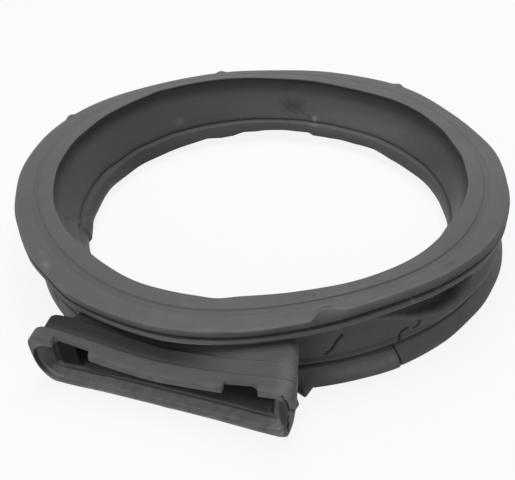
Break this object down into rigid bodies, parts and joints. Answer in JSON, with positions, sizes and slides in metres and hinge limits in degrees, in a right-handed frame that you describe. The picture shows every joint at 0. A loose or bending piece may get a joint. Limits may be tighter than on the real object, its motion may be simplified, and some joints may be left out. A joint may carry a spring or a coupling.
{
  "type": "washing machine door seal",
  "caption": "Round moulded rubber seal for a washing machine door, with a rimmed front face, a waisted side, a flared tub foot and a flat duct at the lower front.",
  "frame": {"origin": "on the plane the tub foot lies on, under the middle of the bounding box, which is 4.2 mm in front of the ring's own axis and 2.2 mm to its left", "axes": "+Z along the ring's axis, out of the door face; -Y out of the duct's mouth; +X to the right seen from the mouth"},
  "size_m": [0.4062, 0.4322, 0.0658],
  "materials": {
    "rubber": "matt to satin dark grey rubber, used"
  },
  "bodies": {
    "root": {"door_seal": "rubber"}
  },
  "joints": []
}
